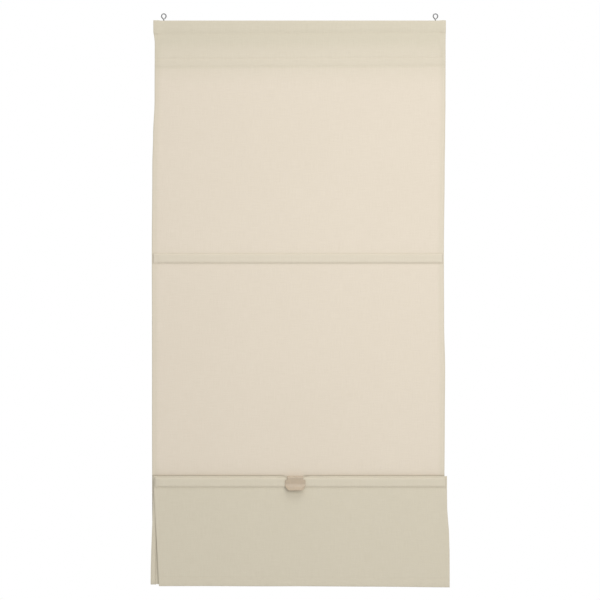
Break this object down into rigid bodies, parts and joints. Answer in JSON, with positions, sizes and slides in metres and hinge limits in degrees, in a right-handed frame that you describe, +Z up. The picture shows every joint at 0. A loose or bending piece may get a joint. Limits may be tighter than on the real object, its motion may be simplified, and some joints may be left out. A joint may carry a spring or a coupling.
{
  "type": "roman blind",
  "caption": "Cordless cloth roman blind hung by two screw eyes, its lowest rib folded up and held to the rib above by a moulded lift clip.",
  "frame": {"origin": "midway between the centres of the two screw eyes' rings, which is the line the blind hangs from", "axes": "+Z up, +X to the right as seen from the room, and the room is towards -Y"},
  "size_m": [0.606, 0.0289, 1.1788],
  "materials": {
    "cloth": "plain woven unbleached cotton, matte",
    "slat": "extruded flat strip",
    "batten": "planed softwood",
    "wire": "zinc plated wire",
    "clip": "moulded, satin"
  },
  "bodies": {
    "blind": {"cloth_panel": "cloth", "rib_pocket_2": "cloth", "rib_pocket_3": "cloth", "rib_pocket_4": "cloth", "rib_slat_1": "slat", "rib_slat_2": "slat", "rib_slat_3": "slat", "rib_slat_4": "slat", "head_batten": "batten", "screw_eye_left": "wire", "screw_eye_right": "wire"},
    "clip": {"lift_clip": "clip"}
  },
  "joints": [
    {"name": "clip_lift", "type": "slide", "parent": "blind", "child": "clip", "axis": [0, 0, 1], "range_m": [0, 0.04]}
  ]
}
